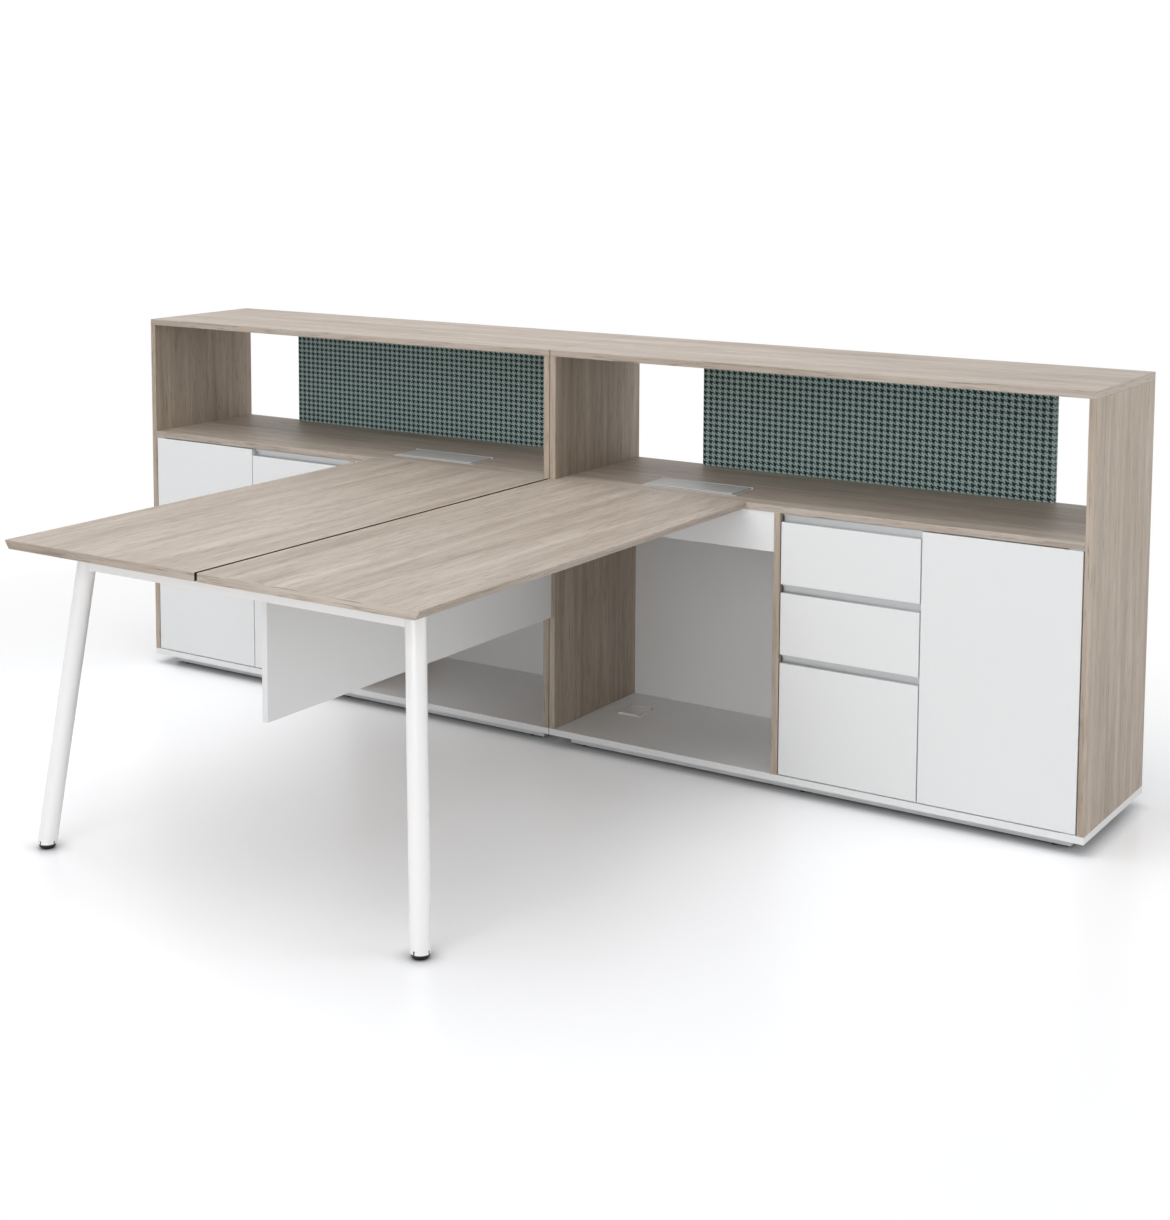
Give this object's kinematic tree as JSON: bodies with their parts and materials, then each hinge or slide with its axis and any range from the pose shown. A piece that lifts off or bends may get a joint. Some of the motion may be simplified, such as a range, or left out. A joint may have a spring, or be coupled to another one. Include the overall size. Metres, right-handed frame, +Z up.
{
  "type": "two-person desk cluster",
  "caption": "Office desk pair on splayed legs joined to a storage wall with drawers, doors, kneeholes, open hutch, fabric screens, flip-lid power boxes and cable ports.",
  "frame": {"origin": "on the floor under the middle of the whole cluster's box", "axes": "+X along the cabinets to the right seen from the desk's free end, +Y from the desk to the cabinets, +Z up"},
  "size_m": [3, 1.85, 1.105],
  "materials": {
    "wood_melamine": "satin greige wood-grain melamine",
    "white_melamine": "satin white melamine",
    "grey_melamine": "satin light grey melamine",
    "white_powder_coat": "fine white powder coat",
    "aluminium": "satin anodised",
    "zinc_steel": "bright zinc plate",
    "black_plastic": "moulded, matte",
    "white_plastic": "moulded, satin",
    "houndstooth_fabric": "woven green houndstooth"
  },
  "bodies": {
    "root": {"left_outer_end_panel": "wood_melamine", "left_inner_end_panel": "wood_melamine", "left_top_board": "wood_melamine", "left_counter": "wood_melamine", "left_divider": "wood_melamine", "left_desk_top": "wood_melamine", "left_bottom_board": "white_melamine", "left_back_panel": "white_melamine", "left_screen": "houndstooth_fabric", "left_leg": "white_powder_coat", "right_outer_end_panel": "wood_melamine", "right_inner_end_panel": "wood_melamine", "right_top_board": "wood_melamine", "right_counter": "wood_melamine", "right_divider": "wood_melamine", "right_desk_top": "wood_melamine", "right_bottom_board": "white_melamine", "right_back_panel": "white_melamine", "right_screen": "houndstooth_fabric", "right_leg": "white_powder_coat", "plinth_boards": "white_melamine", "kneehole_fascias": "white_melamine", "partitions": "white_melamine", "shelves": "white_melamine", "modesty_panel": "white_melamine", "drawer_runners": "zinc_steel", "door_fittings": "zinc_steel", "shelf_supports": "zinc_steel", "power_boxes": "aluminium", "lid_hinge_brackets": "aluminium", "socket_strips": "black_plastic", "foot_glides": "black_plastic", "cable_port_frames": "white_plastic", "front_beam": "white_powder_coat", "desk_rails": "white_powder_coat", "frame_brackets": "white_powder_coat"},
    "left_door": {"left_door": "white_melamine"},
    "left_power_lid": {"left_power_lid": "aluminium"},
    "left_cable_port_flap": {"left_cable_port_flap": "white_plastic"},
    "left_upper_drawer": {"left_upper_drawer_front": "white_melamine", "left_upper_drawer_box": "grey_melamine", "left_upper_finger_pull": "aluminium"},
    "left_middle_drawer": {"left_middle_drawer_front": "white_melamine", "left_middle_drawer_box": "grey_melamine", "left_middle_finger_pull": "aluminium"},
    "left_lower_drawer": {"left_lower_drawer_front": "white_melamine", "left_lower_drawer_box": "grey_melamine", "left_lower_finger_pull": "aluminium"},
    "right_door": {"right_door": "white_melamine"},
    "right_power_lid": {"right_power_lid": "aluminium"},
    "right_cable_port_flap": {"right_cable_port_flap": "white_plastic"},
    "right_upper_drawer": {"right_upper_drawer_front": "white_melamine", "right_upper_drawer_box": "grey_melamine", "right_upper_finger_pull": "aluminium"},
    "right_middle_drawer": {"right_middle_drawer_front": "white_melamine", "right_middle_drawer_box": "grey_melamine", "right_middle_finger_pull": "aluminium"},
    "right_lower_drawer": {"right_lower_drawer_front": "white_melamine", "right_lower_drawer_box": "grey_melamine", "right_lower_finger_pull": "aluminium"}
  },
  "joints": [
    {"name": "left_upper_drawer_slide", "type": "slide", "parent": "root", "child": "left_upper_drawer", "axis": [0, -1, 0], "range_m": [0, 0.27]},
    {"name": "left_middle_drawer_slide", "type": "slide", "parent": "root", "child": "left_middle_drawer", "axis": [0, -1, 0], "range_m": [0, 0.27]},
    {"name": "left_lower_drawer_slide", "type": "slide", "parent": "root", "child": "left_lower_drawer", "axis": [0, -1, 0], "range_m": [0, 0.27]},
    {"name": "left_door_hinge", "type": "hinge", "parent": "root", "child": "left_door", "pos_m": [-1.467, 0.483, 0.39], "axis": [0, 0, -1], "range_deg": [0, 105]},
    {"name": "left_power_lid_hinge", "type": "hinge", "parent": "root", "child": "left_power_lid", "pos_m": [-0.44, 0.6404, 0.7543], "axis": [-1, 0, 0], "range_deg": [0, 100]},
    {"name": "left_cable_port_hinge", "type": "hinge", "parent": "root", "child": "left_cable_port_flap", "pos_m": [-0.118, 0.7824, 0.0523], "axis": [-1, 0, 0], "range_deg": [0, 100]},
    {"name": "right_upper_drawer_slide", "type": "slide", "parent": "root", "child": "right_upper_drawer", "axis": [0, -1, 0], "range_m": [0, 0.27]},
    {"name": "right_middle_drawer_slide", "type": "slide", "parent": "root", "child": "right_middle_drawer", "axis": [0, -1, 0], "range_m": [0, 0.27]},
    {"name": "right_lower_drawer_slide", "type": "slide", "parent": "root", "child": "right_lower_drawer", "axis": [0, -1, 0], "range_m": [0, 0.27]},
    {"name": "right_door_hinge", "type": "hinge", "parent": "root", "child": "right_door", "pos_m": [1.467, 0.483, 0.39], "axis": [0, 0, 1], "range_deg": [0, 105]},
    {"name": "right_power_lid_hinge", "type": "hinge", "parent": "root", "child": "right_power_lid", "pos_m": [0.4, 0.6404, 0.7543], "axis": [-1, 0, 0], "range_deg": [0, 100]},
    {"name": "right_cable_port_hinge", "type": "hinge", "parent": "root", "child": "right_cable_port_flap", "pos_m": [0.118, 0.7824, 0.0523], "axis": [-1, 0, 0], "range_deg": [0, 100]}
  ]
}
